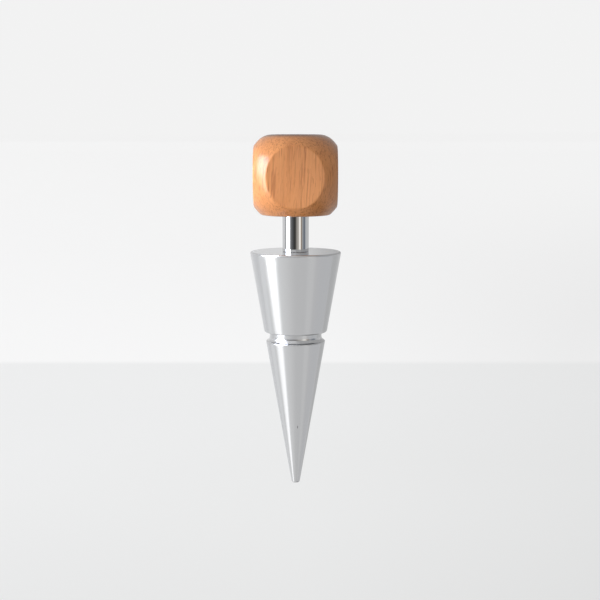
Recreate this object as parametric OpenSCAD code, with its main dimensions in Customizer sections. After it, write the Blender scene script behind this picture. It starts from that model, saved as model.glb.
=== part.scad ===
// Bottle stopper: a wooden knob on a chromed stem, seated in a chromed cone
// that tapers to a blunt tip. It can't stand on its tip, and on its side it
// rolls, so it stands on its head: the knob's end flat is on the table, and +Z
// runs along the axis from there to the tip.

/* [Knob] */
// Width across the flats on the four sides
knob_w = 25.2; // [22:0.1:30]
// Height from the end flat to the flat at the stem
knob_h = 24.1; // [21.5:0.1:27]
// How far past the middle of the height, towards the stem, the ball's middle is
ball_shift = 0.45; // [0:0.05:1]
// Diameter of the round flats on the four sides, where the ball surface that
// cuts the edges and corners away meets them
flat_d = 18.3; // [12:0.1:22]
// Radius that eases the rims of the flats on the four sides
side_rim_r = 1; // [0.5:0.1:3]
// Radius that eases the rim of the end flat
head_rim_r = 5.8; // [0.5:0.1:6]
// Radius that eases the rim of the flat at the stem
foot_rim_r = 1.3; // [0.5:0.1:3]

/* [Stem] */
// Diameter of the polished rod
stem_d = 8; // [7:0.1:10]
// Length of rod that shows between knob and cone
stem_len = 11.1; // [4:0.1:25]
// Diameter of the spigot at each end
spigot_d = 6; // [4:0.1:6.4]
// Length of the spigot in the knob
knob_spigot_len = 12; // [6:0.5:15]
// Length of the spigot in the cone
cone_spigot_len = 10; // [6:0.5:20]
// Chamfer on the spigots' ends
spigot_chamfer = 0.5; // [0.2:0.1:1]

/* [Cone] */
// Length from the wide face to the tip
cone_len = 72.5; // [65:0.5:85]
// Diameter at the wide face, before its rim is rounded
cone_d = 27.8; // [24:0.1:32]
// Diameter at the tip, before it is rounded
tip_d = 2.4; // [1.6:0.1:6]
// Radius of the rounded rim at the wide face
cone_rim_r = 0.5; // [0.2:0.1:1]
// Radius of the rounded tip
tip_rim_r = 0.45; // [0.2:0.05:0.6]

/* [Groove] */
// Distance from the wide face to the groove
groove_z = 24.65; // [20:0.05:32]
// Width of the groove along the axis
groove_w = 2.7; // [2:0.1:5]
// Depth of the groove below its narrower rim
groove_depth = 1.15; // [0.6:0.05:1.5]
// Radius of the groove's wider rim
wide_rim_r = 0.6; // [0.2:0.1:0.9]
// Radius of the groove's narrower rim
narrow_rim_r = 0.35; // [0.1:0.05:0.45]
// Radius of the cove where the groove's floor meets its narrower wall
groove_cove_r = 0.7; // [0.3:0.05:1]

/* [Fit] */
// Radial clearance of a spigot in its bore
spigot_gap = 0.05; // [0.02:0.01:0.15]
// Clearance between a spigot's end and the bottom of its bore
spigot_end_gap = 1; // [0.2:0.1:2]

/* [Hidden] */
$fn = 96;

wood = [0.79, 0.53, 0.34];
polished_chrome = [0.80, 0.81, 0.83];
satin_chrome = [0.72, 0.72, 0.73];

// Radius of the ball surface that cuts the knob's edges and corners away
ball_r = sqrt(pow(knob_w / 2, 2) + pow(flat_d / 2, 2));

// The cone's side as a slope, and the angle between the side and the axis
cone_slope = (cone_d - tip_d) / 2 / cone_len;
cone_angle = atan(cone_slope);

// The groove's wall next to the tip, its floor, and the cove at that wall,
// which is no wider than the wall itself
groove_end_z = groove_z + groove_w;
groove_r = cone_r(groove_end_z) - groove_depth;
cove_r = min(groove_cove_r, rounding_x(groove_end_z + narrow_rim_r, narrow_rim_r) - groove_r);

// Distances of the knob's flats from the ball's middle
head_h = knob_h / 2 + ball_shift;
foot_h = knob_h - head_h;
side_h = knob_w / 2;

// Places along the axis, and the radius of the bores for the spigots
stem_z = knob_h;
cone_z = stem_z + stem_len;
bore_r = spigot_d / 2 + spigot_gap;

// A cut starts this far outside the face that it goes through, and joined
// shapes run this far into each other
cut_over = 1;
lap = 0.5;

// How far the arc of a flat's rim reaches past the ball
rim_over = 0.005;

// Radius of the cone's side at a distance from its wide face
function cone_r(z) = cone_d / 2 - z * cone_slope;

// Distance from the axis to the centre of a rounding of radius r, at height
// z, that touches the cone's side. It touches at touch_z.
function rounding_x(z, r) = cone_r(z) - r / cos(cone_angle);
function touch_z(z, r) = z + r * sin(cone_angle);

// Radius at which the eased rim starts on a flat of the knob, at height h from
// the ball's middle. The rim's arc reaches rim_over past the ball, so that the
// two surfaces cross there.
function flat_r(h, rim_r) =
    sqrt(pow(ball_r - rim_r + rim_over, 2) - pow(h - rim_r, 2));

// Half of the profile of a round body with a flat at height h and an eased
// rim. Beyond the rim it is wider than the ball.
module eased_end_profile(h, rim_r) {
    rim_x = flat_r(h, rim_r);
    touch = (ball_r + rim_over) / (ball_r - rim_r + rim_over);
    touch_x = rim_x * touch;
    touch_h = (h - rim_r) * touch;
    translate([0, -lap]) square([ball_r + cut_over, touch_h + lap]);
    polygon([[0, 0], [touch_x, 0], [touch_x, touch_h], [rim_x, h], [0, h]]);
    translate([rim_x, h - rim_r]) circle(r = rim_r);
}

// A round body with a flat at each end
module eased_slab(lower_h, lower_rim_r, upper_h, upper_rim_r) {
    rotate_extrude() intersection() {
        union() {
            eased_end_profile(upper_h, upper_rim_r);
            mirror([0, 1]) eased_end_profile(lower_h, lower_rim_r);
        }
        translate([0, -lower_h]) square([ball_r + cut_over, lower_h + upper_h]);
    }
}

// The ball with six flats: one slab for each pair
module knob_body() {
    intersection() {
        sphere(r = ball_r);
        eased_slab(head_h, head_rim_r, foot_h, foot_rim_r);
        rotate([90, 0, 0]) eased_slab(side_h, side_rim_r, side_h, side_rim_r);
        rotate([0, 90, 0]) eased_slab(side_h, side_rim_r, side_h, side_rim_r);
    }
}

// Part of the cone's profile from one flat to the next, with rounded rims
module cone_section(start, end, start_r, end_r) {
    start_x = rounding_x(start + start_r, start_r);
    end_x = rounding_x(end - end_r, end_r);
    start_touch = touch_z(start + start_r, start_r);
    end_touch = touch_z(end - end_r, end_r);
    polygon([[0, start], [start_x, start], [cone_r(start_touch), start_touch],
             [cone_r(end_touch), end_touch], [end_x, end], [0, end]]);
    translate([start_x, start + start_r]) circle(r = start_r);
    translate([end_x, end - end_r]) circle(r = end_r);
}

module cone_profile() {
    cone_section(0, groove_z, cone_rim_r, wide_rim_r);
    cone_section(groove_end_z, cone_len, narrow_rim_r, tip_rim_r);
    translate([0, groove_z - lap]) square([groove_r, groove_w + 2 * lap]);
    difference() {
        translate([0, groove_end_z - cove_r]) square([groove_r + cove_r, cove_r + lap]);
        translate([groove_r + cove_r, groove_end_z - cove_r]) circle(r = cove_r);
    }
}

module spigot(length) {
    rotate_extrude()
        polygon([[0, 0], [spigot_d / 2, 0], [spigot_d / 2, length - spigot_chamfer],
                 [spigot_d / 2 - spigot_chamfer, length], [0, length]]);
}

// The bore for a spigot, from outside the face to past the spigot's end
module bore(length) {
    translate([0, 0, -cut_over])
        cylinder(r = bore_r, h = cut_over + length + spigot_end_gap);
}

module knob() {
    color(wood) difference() {
        translate([0, 0, head_h]) knob_body();
        translate([0, 0, knob_h]) mirror([0, 0, 1]) bore(knob_spigot_len);
    }
}

module stem() {
    color(polished_chrome) translate([0, 0, stem_z]) {
        cylinder(d = stem_d, h = stem_len);
        translate([0, 0, stem_len]) spigot(cone_spigot_len);
        mirror([0, 0, 1]) spigot(knob_spigot_len);
    }
}

module stopper_cone() {
    color(satin_chrome) translate([0, 0, cone_z]) difference() {
        rotate_extrude() intersection() {
            cone_profile();
            square([cone_d, cone_len]);
        }
        bore(cone_spigot_len);
    }
}

knob();
stem();
stopper_cone();
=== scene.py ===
import math

import bmesh
import bpy
import numpy as np
from mathutils import Matrix


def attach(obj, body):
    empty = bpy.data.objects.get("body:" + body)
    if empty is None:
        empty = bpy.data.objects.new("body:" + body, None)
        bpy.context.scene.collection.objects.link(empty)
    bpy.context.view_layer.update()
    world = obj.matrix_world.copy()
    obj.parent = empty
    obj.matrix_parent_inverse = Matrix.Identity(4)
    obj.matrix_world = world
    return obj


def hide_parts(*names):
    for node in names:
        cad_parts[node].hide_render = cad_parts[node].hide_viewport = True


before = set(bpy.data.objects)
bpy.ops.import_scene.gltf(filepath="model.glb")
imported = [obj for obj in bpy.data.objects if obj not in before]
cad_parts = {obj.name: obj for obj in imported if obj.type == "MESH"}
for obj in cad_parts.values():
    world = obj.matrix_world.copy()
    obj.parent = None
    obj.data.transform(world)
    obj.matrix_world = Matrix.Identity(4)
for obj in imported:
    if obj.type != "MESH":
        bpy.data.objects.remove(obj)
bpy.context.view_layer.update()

# The camera stands a third of a metre from the stopper, just above the table.
# The stopper stands on its head, so the camera is held upside down and tilted
# towards the tip: the picture then shows the knob on top.
focal_px = 1100
picture_px = 600
tilt = math.radians(7.92)
camera_place = (-0.00135, -0.33385, 0.00373)

camera_data = bpy.data.cameras.new("camera")
camera_data.sensor_width = 36
camera_data.lens = camera_data.sensor_width * focal_px / picture_px
camera_data.clip_start = 0.005
camera = bpy.data.objects.new("camera", camera_data)
to_right = (-1, 0, 0)
to_top = (0, math.sin(tilt), -math.cos(tilt))
to_back = (0, -math.cos(tilt), -math.sin(tilt))
camera.matrix_world = Matrix([
    (*axis_parts, place) for *axis_parts, place in zip(to_right, to_top, to_back, camera_place)
] + [(0, 0, 0, 1)])
bpy.context.scene.collection.objects.link(camera)
bpy.context.scene.camera = camera
bpy.context.scene.view_settings.view_transform = "Standard"


# The room is a pale one with its light on the knob's left. The world holds its
# even light, a little brighter on that side, and shows plain white to the
# camera.
class Wire:
    """An output of a node tree. Sums on wires add the tree's Math nodes."""

    def __init__(self, tree, socket=None):
        self.tree = tree
        self.socket = socket

    def node(self, kind, settings=None, sockets=None):
        """Adds a node: its settings first, then its sockets' values or links."""
        made = self.tree.nodes.new(kind)
        for name, value in (settings or {}).items():
            if name == "stops":
                ramp = made.color_ramp
                for number, (place, colour) in enumerate(value):
                    stop = ramp.elements[number] if number < 2 else ramp.elements.new(place)
                    stop.position = place
                    stop.color = (*colour, 1)
            else:
                setattr(made, name, value)
        for name, value in (sockets or {}).items():
            if isinstance(value, Wire):
                self.tree.links.new(value.socket, made.inputs[name])
            else:
                made.inputs[name].default_value = value
        return Wire(self.tree, made.outputs[0] if made.outputs else None)

    def out(self, name):
        return Wire(self.tree, self.socket.node.outputs[name])

    def maths(self, operation, *values):
        return self.node("ShaderNodeMath", {"operation": operation}, dict(enumerate(values)))

    def __add__(self, other):
        return self.maths("ADD", self, other)

    __radd__ = __add__

    def __sub__(self, other):
        return self.maths("SUBTRACT", self, other)

    def __rsub__(self, other):
        return self.maths("SUBTRACT", other, self)

    def __mul__(self, other):
        return self.maths("MULTIPLY", self, other)

    __rmul__ = __mul__

    def __truediv__(self, other):
        return self.maths("DIVIDE", self, other)

    def __rtruediv__(self, other):
        return self.maths("DIVIDE", other, self)


def parts_of(vector):
    split = vector.node("ShaderNodeSeparateXYZ", {}, {0: vector})
    return split, split.out(1), split.out(2)


def shader_tree(owner):
    owner.use_nodes = True
    owner.node_tree.nodes.clear()
    return Wire(owner.node_tree)


def between(value, low, high):
    """0 below low, 1 above high, and smooth between."""
    return value.node("ShaderNodeMapRange", {"interpolation_type": "SMOOTHSTEP"}, {0: value, 1: low, 2: high})


def blend(share, start, end, mode="MIX"):
    colours = [c if isinstance(c, Wire) else (*c, 1) for c in (start, end)]
    return share.node("ShaderNodeMix", {"data_type": "RGBA", "blend_type": mode},
                      {0: share, 6: colours[0], 7: colours[1]}).out(2)


world = bpy.data.worlds.new("pale room")
bpy.context.scene.world = world
room = shader_tree(world)
sideways, _, upward = parts_of(room.node("ShaderNodeTexCoord"))
room_light = room.node("ShaderNodeValToRGB", {"stops": [
    (0.0, (0.64, 0.65, 0.66)), (0.08, (0.66, 0.66, 0.67)), (0.115, (0.67, 0.67, 0.67)),
    (0.14, (0.74, 0.74, 0.74)), (0.235, (0.74, 0.74, 0.74)), (0.26, (0.69, 0.69, 0.69)),
    (0.5, (0.70, 0.70, 0.70)), (0.75, (0.84, 0.84, 0.84)), (1.0, (0.94, 0.95, 0.96)),
]}, {0: sideways * 0.5 + 0.5})
room_light = blend(between(upward, 0.68, 0.84), room_light, (0.60, 0.60, 0.60))
ways = room.node("ShaderNodeLightPath")
room_light = blend(between(0 - sideways, 0.2, 0.6) * between(upward, 0.60, 0.75), room_light, (0.15, 0.15, 0.15))
shown_light = blend(ways.out("Is Camera Ray"), room_light, (0.89, 0.89, 0.89))
room.node("ShaderNodeOutputWorld", {}, {
    "Surface": room.node("ShaderNodeBackground", {}, {"Color": shown_light, "Strength": 1.0}),
})

# A sheet of white card lies under the stopper and curves up behind it. Seen directly or in the chrome it is partly
# bright of itself, so that to the camera it looks evenly pale, and it still takes the stopper's shadow.
# To every ray but the camera's, its right half and the floor close round the stopper
# are painted darker: a painted shade that the chrome and lacquer reflect and that
# dims the light thrown back onto the knob.
sheet_half = 2.6
sheet_front = -2.6
bend_start = 0.62
bend_radius = 0.12
sheet_top = 0.6
bend_steps = 16
card_white = (0.80, 0.80, 0.805)
floor_white = (0.972, 0.972, 0.972)
bend_white = (0.958, 0.958, 0.958)
middle_white = (0.952, 0.952, 0.952)
upper_white = (0.961, 0.961, 0.961)
lower_white = (0.870, 0.875, 0.875)

profile = [(sheet_front, 0.0)]
for step in range(bend_steps + 1):
    turn = math.pi / 2 * step / bend_steps
    profile.append((bend_start + bend_radius * math.sin(turn), bend_radius * (1 - math.cos(turn))))
profile.append((profile[-1][0], sheet_top))
sheet_mesh = bpy.data.meshes.new("card")
sheet_mesh.from_pydata(
    [(x, y, z) for y, z in profile for x in (-sheet_half, sheet_half)], [],
    [(2 * n, 2 * n + 1, 2 * n + 3, 2 * n + 2) for n in range(len(profile) - 1)],
)
sheet_mesh.shade_smooth()
card = bpy.data.objects.new("card", sheet_mesh)
bpy.context.scene.collection.objects.link(card)

card_finish = bpy.data.materials.new("white card")
card_tree = shader_tree(card_finish)
along_card, out_card, height = parts_of(card_tree.node("ShaderNodeTexCoord").out("Object"))
tone = card_tree.node("ShaderNodeValToRGB", {"stops": [
    (0.0, floor_white), (0.04, bend_white), (0.40, middle_white), (0.857, upper_white), (0.870, lower_white),
]}, {0: height / 0.25})
path = card_tree.node("ShaderNodeLightPath")
seen = path.out("Is Camera Ray")
# High up, the card's light falls off a little to the right and at the top
right_share = (0 - along_card) / 0.27 * between(height, 0.0, 0.2) * (1 - between(height, 0.2142, 0.2176) * 0.4)
tone = blend(seen * right_share, tone, (0.915, 0.915, 0.915), "MULTIPLY")
tone = blend(seen * between(height, 0.33, 0.50), tone, (0.955, 0.955, 0.955), "MULTIPLY")
mirrored = card_tree.maths("MAXIMUM", path.out("Is Glossy Ray"), path.out("Is Transmission Ray"))
# Painted shade: to every ray but the camera's, the card's right half and the floor close round the stopper are made
# darker.
painted_shade_right = between(0 - along_card, -0.01, 0.03) * (1 - seen)
painted_shade_close = 1 - between(along_card * along_card + out_card * out_card, 0.005, 0.04)
card_tree.node("ShaderNodeOutputMaterial", {}, {
    "Surface": card_tree.node("ShaderNodeMixShader", {}, {
        0: seen * 0.88 + mirrored * (0.74 - painted_shade_right * 0.33 - between(height, 0.05, 0.15) * (0.06 - 0.19 * painted_shade_right)),
        1: card_tree.node("ShaderNodeBsdfDiffuse", {}, {
            "Color": blend(card_tree.maths("MAXIMUM", painted_shade_right, painted_shade_close * (1 - seen)), card_white, (0.42, 0.42, 0.42)),
        }),
        2: card_tree.node("ShaderNodeEmission", {}, {"Color": tone, "Strength": 1.0}),
    }),
})
sheet_mesh.materials.append(card_finish)

# The lamp is a broad softbox on the left, from the table up. Its light makes
# the white stripe down the stem and the highlight on the knob.
lamps = {
    # Name: (turn, height of its middle, distance, width, height, spread, level, shown in chrome and lacquer)
    "softbox": (68.5, 0.16, 0.8, 0.34, 0.32, 180, 6.1, True),
    "front_lamp": (-8, 0.045, 0.5, 0.32, 0.08, 180, 7.2, False),
    "back_lamp": (180, 0.12, 0.5, 0.6, 0.2, 60, 1.6, False),
}
for name, (turn, middle, distance, width, tall, spread, level, shown) in lamps.items():
    lamp_data = bpy.data.lights.new(name, "AREA")
    lamp_data.shape = "RECTANGLE"
    lamp_data.size = width
    lamp_data.size_y = tall
    lamp_data.spread = math.radians(spread)
    lamp_data.energy = level * math.pi * width * tall
    lamp = bpy.data.objects.new(name, lamp_data)
    lamp.matrix_world = (
        Matrix.Rotation(math.radians(turn), 4, "Z")
        @ Matrix.Translation((0, -distance, middle))
        @ Matrix.Rotation(math.radians(90), 4, "X")
    )
    lamp.visible_camera = False
    lamp.visible_glossy = shown
    bpy.context.scene.collection.objects.link(lamp)

# Boards round the table are there for the chrome and the lacquer to reflect.
# Low dark and grey ones stand in front, and the polished stem shows them as
# bands. A pale one above the softbox makes the stripe down the cone, and a
# bright one lies before the softbox on the table.
board_sets = {
    # Name: (inner and outer distance, lowest and highest edge, tones by turn)
    "low_boards": ((0.6, 0.6), (0.0, 0.12), [
        (-46, (0.40, 0.41, 0.43)), (-40, (0.24, 0.24, 0.25)), (-28, (0.13, 0.135, 0.14)),
        (-12, (0.055, 0.055, 0.055)), (0, (0.07, 0.065, 0.06)), (5, (0.22, 0.21, 0.19)),
        (12, (0.42, 0.39, 0.36)), (29, (0.58, 0.54, 0.49)), (31, (1.25, 1.22, 1.16)),
        (42, (1.20, 1.14, 1.05)), (50, (0.80, 0.70, 0.60)), (52, (0.24, 0.19, 0.15)),
        (59, (0.24, 0.20, 0.17)), (61, (0.50, 0.50, 0.50)), (70, (0.46, 0.48, 0.50)),
        (73, (0.22, 0.24, 0.27)), (92, (0.20, 0.22, 0.26)), (96, (0.58, 0.59, 0.60)),
        (137, (0.72, 0.72, 0.72)),
    ]),
    "side_board": ((0.6, 0.6), (0.0, 0.12), [(-101.5, (0.22, 0.22, 0.22)), (-95, (0.22, 0.22, 0.22))]),
    "upper_board": ((0.8, 0.8), (0.33, 0.85), [
        (-97, (0.75, 0.75, 0.75)), (-86, (0.9, 0.9, 0.9)), (-78, (1.4, 1.4, 1.4)),
        (-57, (1.6, 1.6, 1.6)), (-50, (0.82, 0.82, 0.82)),
    ]),
    "table_board": ((0.0102, 0.8), (0.0006, 0.0006), [(-94, (8.6, 9.1, 10.4)), (-46, (8.6, 9.1, 10.4))]),
    "table_glow": ((0.0100, 0.4), (0.0004, 0.0004), [
        (-80, (0.9, 0.9, 0.9)), (-30, (0.85, 0.85, 0.85)), (15, (0.4, 0.4, 0.4)), (60, (0.1, 0.1, 0.1)),
    ]),
    "top_flag": ((0.0, 0.5), (0.21, 0.21), [(180, (0.02, 0.02, 0.02)), (-180, (0.02, 0.02, 0.02))]),
}
table_board_centre = (0.011, -0.007)
unmirrored = ("table_glow", "top_flag")


def board_set(name, distances, heights, tones):
    """A strip round the axis, from the first distance and height to the last,
    which is bright of itself on the side towards the stopper."""
    low, high = tones[0][0], tones[-1][0]
    steps = max(4, abs(round(high - low)))
    turns = [low + (high - low) * step / steps for step in range(steps + 1)]
    centre = table_board_centre if name == "table_board" else (0, 0)
    mesh = bpy.data.meshes.new(name)
    mesh.from_pydata(
        [(centre[0] - d * math.sin(math.radians(turn)), centre[1] - d * math.cos(math.radians(turn)), z)
         for turn in turns for d, z in zip(distances, heights)], [],
        [(2 * n, 2 * n + 2, 2 * n + 3, 2 * n + 1) for n in range(steps)],
    )
    places = mesh.uv_layers.new(name="UVMap")
    for corner in mesh.loops:
        places.data[corner.index].uv = (corner.vertex_index // 2 / steps, corner.vertex_index % 2)
    boards = bpy.data.objects.new(name, mesh)
    boards.visible_camera = False
    boards.visible_glossy = name not in unmirrored
    bpy.context.scene.collection.objects.link(boards)
    glow = bpy.data.materials.new(name)
    tree = shader_tree(glow)
    along = parts_of(tree.node("ShaderNodeUVMap", {"uv_map": "UVMap"}))[0]
    brightest = max(max(colour) for _, colour in tones)
    tone = tree.node("ShaderNodeValToRGB", {"stops": [
        ((turn - low) / (high - low), tuple(part / brightest for part in colour)) for turn, colour in tones
    ]}, {0: along})
    tree.node("ShaderNodeOutputMaterial", {}, {
        "Surface": tree.node("ShaderNodeMixShader", {}, {
            0: tree.node("ShaderNodeNewGeometry").out("Backfacing"),
            1: tree.node("ShaderNodeEmission", {}, {"Color": tone, "Strength": brightest}),
            2: tree.node("ShaderNodeEmission", {}, {"Color": (0.36, 0.36, 0.36, 1), "Strength": 1.0}),
        }),
    })
    mesh.materials.append(glow)


for name, (distances, heights, tones) in board_sets.items():
    board_set(name, distances, heights, tones)

# The knob is one block of beech, cut from a cube by a ball: it keeps a round
# flat on each side, sanded soft at the rim, and has a satin lacquer. The grain
# runs along the stopper. The stem's spigot is glued into the bore in its foot.
knob_width = 0.0252
knob_height = 0.0241
ball_shift = 0.00045
side_flat = 0.0183
side_rim = 0.001
head_rim = 0.0058
foot_rim = 0.0013
bore_radius = 0.00305
knob_bore = 0.013
upright_cut = 0.00000998
upright_cut_reach = 0.00915
edge_spokes = 40
rim_steps = 10
ball_steps = 14

ball_radius = math.hypot(knob_width / 2, side_flat / 2)
side_reach = knob_width / 2
head_reach = knob_height / 2 + ball_shift
foot_reach = knob_height - head_reach
# Where a side's part of the ball ends, as heights for each unit of distance
head_edge = 1 / math.tan(math.radians(49))
foot_edge = 1 / math.tan(math.radians(46.5))

# Each face: its axes, its flat's distance from the ball's middle, its rim, and
# how far its part of the ball goes each way
knob_faces = [
    ((1, 0, 0), (0, 1, 0), (0, 0, 1), foot_reach, foot_rim, (1 / foot_edge, 1 / foot_edge, 1 / foot_edge)),
    ((0, 1, 0), (1, 0, 0), (0, 0, -1), head_reach, head_rim, (1 / head_edge, 1 / head_edge, 1 / head_edge)),
    ((0, 1, 0), (0, 0, 1), (1, 0, 0), side_reach, side_rim, (1, head_edge, foot_edge)),
    ((0, -1, 0), (0, 0, 1), (-1, 0, 0), side_reach, side_rim, (1, head_edge, foot_edge)),
    ((-1, 0, 0), (0, 0, 1), (0, 1, 0), side_reach, side_rim, (1, head_edge, foot_edge)),
    ((1, 0, 0), (0, 0, 1), (0, -1, 0), side_reach, side_rim, (1, head_edge, foot_edge)),
]


def ball_reach(spokes, lean, axes):
    """The cut's distance from the ball's middle in these directions, and the
    slope that it adds to the normal. Between the side flats the cut goes a
    little deeper than the ball."""
    upward = (np.hstack([np.sin(lean)[:, None] * spokes, np.cos(lean)[:, None]]) @ axes)[:, 2]
    share = np.clip(upward * ball_radius / upright_cut_reach, -1, 1)
    deeper = upright_cut * (1 - share ** 2) ** 1.5
    slope = -1.5 * upright_cut * share * np.sqrt(1 - share ** 2) / upright_cut_reach
    return np.sqrt(ball_radius ** 2 - deeper), slope / ball_radius


spread = np.tan(np.linspace(-math.pi / 4, math.pi / 4, edge_spokes + 1))[:-1]
knob_points, knob_normals, knob_polygons = [], [], []
for across, up, outward, reach, rim, (beside, below, above) in knob_faces:
    axes = np.array([across, up, outward], float)
    # The outline of this face's part of the ball, once round
    rises = np.where(spread < 0, spread * below, spread * above)
    falls = np.where(-spread < 0, -spread * below, -spread * above)
    outline = np.concatenate([
        np.stack([np.full_like(spread, beside), rises], -1),
        np.stack([-spread * beside, np.full_like(spread, above)], -1),
        np.stack([np.full_like(spread, -beside), falls], -1),
        np.stack([spread * beside, np.full_like(spread, -below)], -1),
    ])
    edge_angle = np.arctan(np.hypot(*outline.T))
    spokes = outline / np.hypot(*outline.T)[:, None]
    ball_start = np.full(len(spokes), math.acos(reach / ball_radius))
    for _ in range(4):
        near_radius = ball_reach(spokes, ball_start, axes)[0]
        rim_place = np.sqrt((near_radius - rim) ** 2 - (reach - rim) ** 2)
        ball_start = np.arctan2(rim_place, reach - rim)
    # Each ring: distances from the face's axis, heights, leans of the normal,
    # and how much of the upright cut's slope the normal takes
    has_bore = outward == (0, 0, 1)
    rings = [(bore_radius, reach - knob_bore, 0.0, 0.0), (bore_radius, reach, 0.0, 0.0)] if has_bore else []
    rings += [(rim_place * share, reach, 0.0, 0.0) for share in ((0.45, 0.7, 1.0) if has_bore else (0.2, 0.6, 1.0))]
    for share in np.linspace(0, 1, rim_steps + 1)[1:]:
        lean = ball_start * share
        rings.append((rim_place + rim * np.sin(lean), reach - rim * (1 - np.cos(lean)), lean, share))
    for share in np.linspace(0, 1, ball_steps + 1)[1:]:
        lean = ball_start + (edge_angle - ball_start) * share
        from_middle = ball_reach(spokes, lean, axes)[0]
        rings.append((from_middle * np.sin(lean), from_middle * np.cos(lean), lean, 1.0))
    first = len(knob_points)
    knob_points.append(axes[2] * (reach - knob_bore if has_bore else reach))
    knob_normals.append(axes[2])
    for ring in rings:
        distance, height, lean, share = (np.broadcast_to(v, len(spokes))[:, None] for v in ring)
        knob_points.extend(np.hstack([distance * spokes, height]) @ axes)
        slope = ball_reach(spokes, lean[:, 0], axes)[1]
        knob_normals.extend(np.hstack([np.sin(lean) * spokes, np.cos(lean)]) @ axes
                            + share * slope[:, None] * np.array([[0, 0, 1]]))
    for k in range(len(spokes)):
        after = (k + 1) % len(spokes)
        knob_polygons.append((first, first + 1 + k, first + 1 + after))
        for ring in range(len(rings) - 1):
            inner = first + 1 + ring * len(spokes)
            outer = inner + len(spokes)
            knob_polygons.append((inner + k, outer + k, outer + after, inner + after))
knob_points = np.array(knob_points) + (0, 0, head_reach)
keys, kept, merged = np.unique(np.round(knob_points * 1e8).astype(np.int64), axis=0,
                               return_index=True, return_inverse=True)
merged = merged.ravel()
knob_mesh = bpy.data.meshes.new("knob_beech")
knob_mesh.from_pydata(knob_points[kept].tolist(), [], [[int(merged[i]) for i in p] for p in knob_polygons])
knob_mesh.shade_smooth()
knob_normals = np.array(knob_normals)[kept]
knob_normals /= np.linalg.norm(knob_normals, axis=1)[:, None]
knob_mesh.normals_split_custom_set_from_vertices(knob_normals.tolist())
knob = bpy.data.objects.new("knob_beech", knob_mesh)
bpy.context.scene.collection.objects.link(knob)
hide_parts("knob")
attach(knob, "root")

beech = bpy.data.materials.new("lacquered beech")
wood = shader_tree(beech)
place = wood.node("ShaderNodeTexCoord").out("Object")


def scaled(vector, scale, shift=(0, 0, 0)):
    return vector.node("ShaderNodeMapping", {"vector_type": "POINT"},
                       {"Vector": vector, "Scale": scale, "Location": shift})


def noise(vector, scale, detail=2.0, roughness=0.5, shift=(0, 0, 0)):
    return vector.node("ShaderNodeTexNoise", {"noise_dimensions": "3D"}, {
        "Vector": scaled(vector, scale, shift), "Scale": 1.0, "Detail": detail, "Roughness": roughness,
    })


# The grain leans a little and wavers by a tenth of a millimetre or two
waver = noise(place, (110, 110, 60), 2.0).out("Color")
swing = waver.node("ShaderNodeVectorMath", {"operation": "SUBTRACT"}, {0: waver, 1: (0.5, 0.5, 0.5)})
swing = swing.node("ShaderNodeVectorMath", {"operation": "SCALE"}, {0: swing, "Scale": 0.0007})
place_x, place_y, place_z = parts_of(place)
leaning = place.node("ShaderNodeCombineXYZ", {}, {0: place_x - place_z * 0.05, 1: place_y, 2: place_z})
grain = leaning.node("ShaderNodeVectorMath", {"operation": "ADD"}, {0: leaning, 1: swing})

broad = between(noise(grain, (150, 150, 22), 2.0), 0.30, 0.70)
colour = blend(broad, (0.70, 0.288, 0.095), (0.63, 0.245, 0.076))
wide_streaks = between(noise(grain, (900, 900, 36), 2.0, 0.5, (3, 1, 0)), 0.50, 0.66)
colour = blend(wide_streaks * 0.28, colour, (0.42, 0.145, 0.045))
streaks = between(noise(grain, (2100, 2100, 58), 2.0, 0.6, (0, 5, 2)), 0.53, 0.62)
colour = blend(streaks * 0.72, colour, (0.37, 0.112, 0.032))
fibres = between(noise(grain, (3600, 3600, 260), 2.0, 0.7, (5, 5, 2)), 0.30, 0.70)
colour = blend(fibres * 0.30, colour, (0.82, 0.365, 0.135))
pores = between(noise(grain, (2900, 2900, 330), 1.0, 0.5, (7, 0, 1)), 0.60, 0.68)
colour = blend(pores * 0.36, colour, (0.36, 0.105, 0.030))
lacquer = wood.node("ShaderNodeBsdfPrincipled", {}, {
    "Base Color": colour,
    "Roughness": 0.42 + 0.12 * fibres,
    "Specular IOR Level": 0.1,
    "Coat Weight": 0.9,
    "Coat Roughness": 0.26,
    "Coat IOR": 1.55,
    "Normal": wood.node("ShaderNodeBump", {}, {
        "Strength": 0.25, "Distance": 0.00004, "Height": 1 - pores * 0.8 - streaks * 0.3,
    }),
})
wood.node("ShaderNodeOutputMaterial", {}, {"Surface": lacquer})
knob_mesh.materials.append(beech)

# The stem is a steel rod, turned down to a spigot at each end, polished and
# chromed. The lathe here turns any outline, given as distances from the axis
# and heights, round the stopper's axis.
stem_radius = 0.004
spigot_radius = 0.003
spigot_chamfer = 0.0005
stem_start = knob_height
stem_length = 0.0111
knob_spigot = 0.012
cone_spigot = 0.010
foot_chamfer = 0.00015
stem_sides = 192

lathe = bpy.data.node_groups.new("lathe", "GeometryNodeTree")
for name, direction, kind in (
        ("Outline", "INPUT", "NodeSocketGeometry"), ("Sides", "INPUT", "NodeSocketInt"),
        ("Finish", "INPUT", "NodeSocketMaterial"), ("Turned", "OUTPUT", "NodeSocketGeometry")):
    lathe.interface.new_socket(name, in_out=direction, socket_type=kind)
bed = Wire(lathe)
given = bed.node("NodeGroupInput")
outline, sides, finish = given.out("Outline"), given.out("Sides"), given.out("Finish")
count = bed.node("GeometryNodeAttributeDomainSize", {"component": "MESH"}, {0: outline}).out("Point Count")
blank = bed.node("GeometryNodeMeshGrid", {}, {
    "Size X": sides, "Size Y": count - 1, "Vertices X": sides + 1, "Vertices Y": count,
})
grid_x, grid_y, _ = parts_of(bed.node("GeometryNodeInputPosition"))
turn_share = grid_x / sides + 0.5
ring = bed.maths("ROUND", grid_y + (count - 1) * 0.5)
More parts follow.
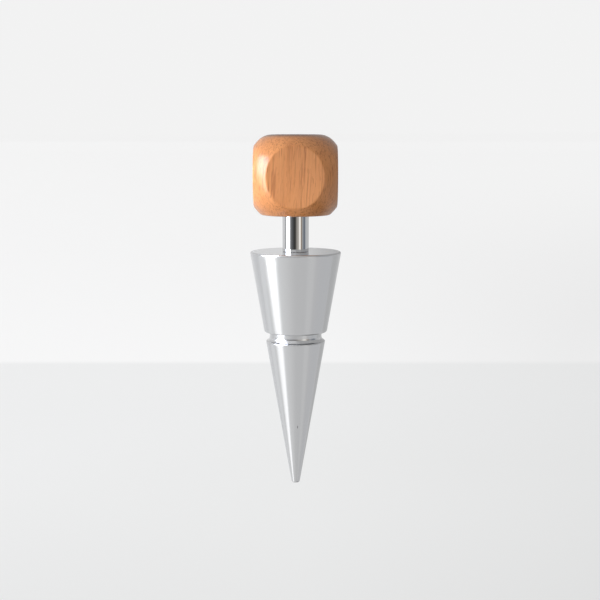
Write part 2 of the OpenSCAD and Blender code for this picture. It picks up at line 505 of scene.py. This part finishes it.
on_outline = bed.node("GeometryNodeSampleIndex", {"data_type": "FLOAT_VECTOR", "domain": "POINT"}, {
    "Geometry": outline, "Value": bed.node("GeometryNodeInputPosition"), "Index": ring,
})
reach, _, rise = parts_of(on_outline)
turned = bed.node("GeometryNodeSetPosition", {}, {
    "Geometry": blank,
    "Position": bed.node("ShaderNodeCombineXYZ", {}, {
        0: reach * bed.maths("COSINE", turn_share * (2 * math.pi)),
        1: reach * bed.maths("SINE", turn_share * (2 * math.pi)),
        2: rise,
    }),
})
welded = bed.node("GeometryNodeMergeByDistance", {}, {"Geometry": turned, "Distance": 1e-7})
painted = bed.node("GeometryNodeSetMaterial", {}, {
    "Geometry": bed.node("GeometryNodeRealizeInstances", {}, {"Geometry": welded}), "Material": finish,
})
bed.node("NodeGroupOutput", {}, {0: painted})


def turned_piece(name, points, side_count, metal, node):
    """A closed mesh turned from the outline points, which rides on the body."""
    line = bpy.data.meshes.new(name + "_outline")
    line.from_pydata([(x, 0, z) for x, z in points], [(n, n + 1) for n in range(len(points) - 1)], [])
    holder = bpy.data.objects.new(name + "_outline", line)
    bpy.context.scene.collection.objects.link(holder)
    turning = holder.modifiers.new("lathe", "NODES")
    turning.node_group = lathe
    sockets = {item.name: item.identifier for item in lathe.interface.items_tree}
    turning[sockets["Sides"]] = side_count
    turning[sockets["Finish"]] = metal
    graph = bpy.context.evaluated_depsgraph_get()
    mesh = bpy.data.meshes.new_from_object(holder.evaluated_get(graph), depsgraph=graph)
    mesh.name = name
    bpy.data.objects.remove(holder)
    bpy.data.meshes.remove(line)
    shell = bmesh.new()
    shell.from_mesh(mesh)
    bmesh.ops.recalc_face_normals(shell, faces=shell.faces)
    shell.to_mesh(mesh)
    shell.free()
    mesh.shade_smooth()
    mesh.set_sharp_from_angle(angle=math.radians(35))
    piece = bpy.data.objects.new(name, mesh)
    bpy.context.scene.collection.objects.link(piece)
    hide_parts(node)
    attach(piece, "root")
    return piece


mirror_chrome = bpy.data.materials.new("mirror chrome")
mirror = shader_tree(mirror_chrome)
place = mirror.node("ShaderNodeTexCoord").out("Object")
scratches = between(noise(place, (5000, 5000, 180), 2.0, 0.6), 0.55, 0.75)
mirror.node("ShaderNodeOutputMaterial", {}, {
    "Surface": mirror.node("ShaderNodeBsdfPrincipled", {}, {
        "Base Color": (0.66, 0.665, 0.675, 1),
        "Metallic": 1.0,
        "Roughness": 0.035 + 0.05 * scratches,
    }),
})
stem_end = stem_start + stem_length
near = 0.0001
stem = turned_piece("stem_rod", [
    (0, stem_start - knob_spigot),
    (spigot_radius - spigot_chamfer, stem_start - knob_spigot),
    (spigot_radius, stem_start - knob_spigot + spigot_chamfer),
    (spigot_radius, stem_start),
    (stem_radius, stem_start),
    (stem_radius, stem_start + near),
    (stem_radius, stem_end - foot_chamfer - near),
    (stem_radius, stem_end - foot_chamfer),
    (stem_radius - foot_chamfer, stem_end),
    (spigot_radius, stem_end),
    (spigot_radius, stem_end + cone_spigot - spigot_chamfer),
    (spigot_radius - spigot_chamfer, stem_end + cone_spigot),
    (0, stem_end + cone_spigot),
], stem_sides, mirror_chrome, "stem")

# The plug is a solid zinc casting, turned to a long taper with one groove, and
# satin chromed. The stem's other spigot is pressed into the bore in its wide
# face.
cone_start = stem_end
cone_length = 0.0725
cone_width = 0.0278
tip_width = 0.0024
wide_rim = 0.0005
tip_rim = 0.00045
groove_start = 0.02465
groove_width = 0.0027
groove_depth = 0.00115
groove_wide_rim = 0.0006
groove_narrow_rim = 0.00035
groove_cove = 0.00078
cone_bore = 0.011
cone_sides = 256

cone_slope = (cone_width - tip_width) / 2 / cone_length
side_lean = math.atan(cone_slope)
groove_end = groove_start + groove_width


def cone_reach(height):
    return cone_width / 2 - height * cone_slope


def rounded(height, radius, start, end, steps=10):
    """An edge's rounding that touches the taper, with its centre at that height."""
    centre = cone_reach(height) - radius / math.cos(side_lean)
    turns = [start + (end - start) * n / steps for n in range(steps + 1)]
    return [(centre + radius * math.cos(t), height + radius * math.sin(t)) for t in turns]


quarter = math.pi / 2
groove_floor = cone_reach(groove_end) - groove_depth
cove_length = 0.0015
cone_outline = [
    (0, cone_bore), (bore_radius, cone_bore), (bore_radius, 0), (bore_radius + near, 0),
    *((cone_width / 2 * share, 0) for share in (0.4, 0.7, 0.94)),
    *rounded(wide_rim, wide_rim, -quarter, side_lean),
    *((cone_reach(z), z) for z in (0.0012, 0.006, 0.012, 0.018, 0.0232)),
    *rounded(groove_start - groove_wide_rim, groove_wide_rim, side_lean, quarter),
    (groove_floor + near, groove_start), (groove_floor, groove_start), (groove_floor, groove_start + near),
    *((groove_floor + groove_cove * (1 + math.cos(t)), groove_end - cove_length * (1 - math.sin(t)))
      for t in np.linspace(math.pi, quarter, 12)),
    *rounded(groove_end + groove_narrow_rim, groove_narrow_rim, -quarter, side_lean),
    *((cone_reach(z), z) for z in (0.0282, 0.034, 0.042, 0.05, 0.058, 0.066, 0.0712)),
    *rounded(cone_length - tip_rim, tip_rim, side_lean, quarter),
    (0, cone_length),
]

satin_chrome = bpy.data.materials.new("satin chrome")
satin = shader_tree(satin_chrome)
place = satin.node("ShaderNodeTexCoord").out("Object")
place_x, place_y, place_z = parts_of(place)
turning_marks = noise(place, (40, 40, 5200), 2.0, 0.6)
cloud = noise(place, (260, 260, 120), 3.0, 0.6)
pit_x = (place_x + 0.0006) / 0.00016
pit_z = (place_z - 0.0890) / 0.0006
pit = between(1 - (pit_x * pit_x + pit_z * pit_z), 0.0, 0.8) * between(0 - place_y, 0.0, 0.001)
satin.node("ShaderNodeOutputMaterial", {}, {
    "Surface": satin.node("ShaderNodeBsdfPrincipled", {}, {
        "Base Color": blend(pit, (0.66, 0.665, 0.675), (0.30, 0.30, 0.31)),
        "Metallic": 1.0,
        "Roughness": 0.15 + 0.05 * cloud,
        "Normal": satin.node("ShaderNodeBump", {}, {
            "Strength": 0.12, "Distance": 0.000012, "Height": turning_marks - pit * 2,
        }),
    }),
})
plug = turned_piece("plug_cone", [(x, cone_start + z) for x, z in cone_outline], cone_sides,
                    satin_chrome, "stopper_cone")
